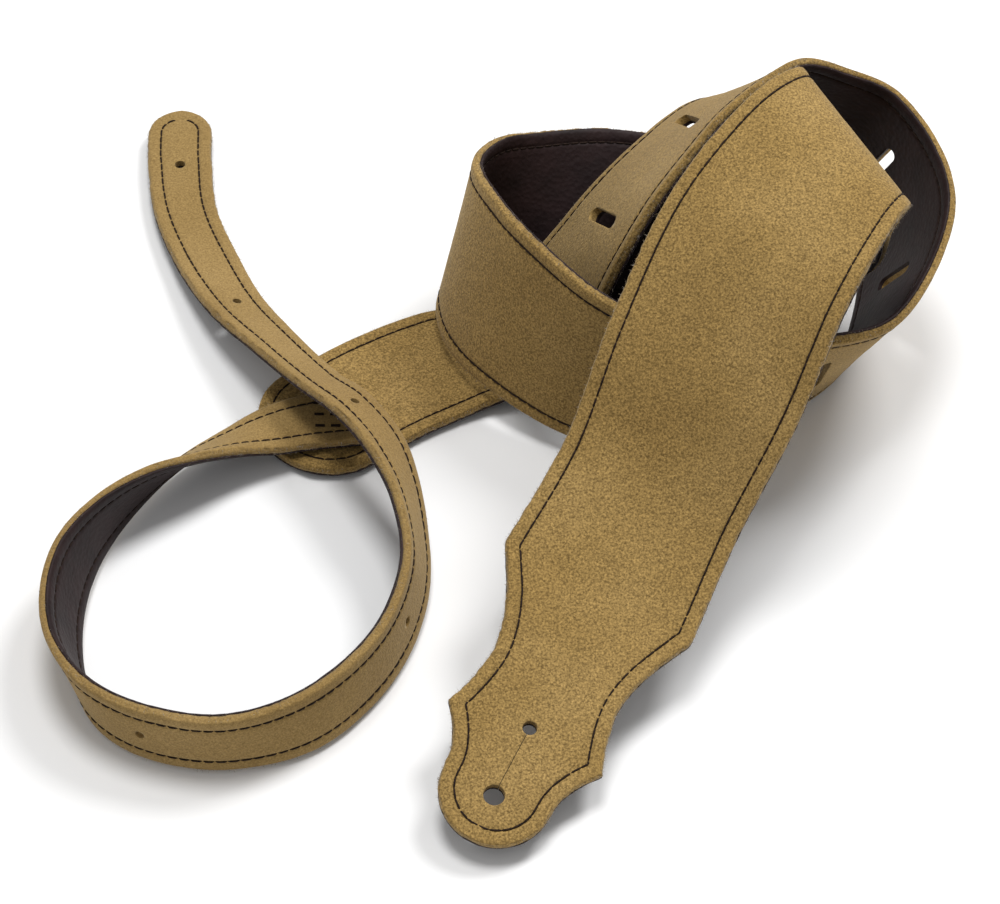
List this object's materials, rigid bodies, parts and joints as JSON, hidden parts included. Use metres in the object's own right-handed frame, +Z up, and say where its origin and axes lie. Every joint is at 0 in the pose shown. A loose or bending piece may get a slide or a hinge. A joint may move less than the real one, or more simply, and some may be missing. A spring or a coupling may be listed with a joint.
{
  "type": "guitar strap",
  "caption": "Wide suede guitar strap with a dark leather lining, shaped button-hole end, slotted rear stretch and narrow adjusting tail, lying in loose loops.",
  "frame": {"origin": "middle of the base, on the surface that the strap lies on", "axes": "+Z up, +Y away from the shaped front end, +X towards the right loop"},
  "size_m": [0.2845, 0.3161, 0.1106],
  "materials": {
    "suede": "napped suede",
    "lining": "smooth grain",
    "board": "matte",
    "thread": "waxed"
  },
  "bodies": {
    "root": {"body_suede_face": "suede", "body_core": "board", "body_leather_lining": "lining", "tail_suede_face": "suede", "tail_core": "board", "tail_leather_lining": "lining", "body_edge_stitching": "thread", "tail_edge_stitching": "thread", "tail_join_stitching": "thread"}
  },
  "joints": []
}
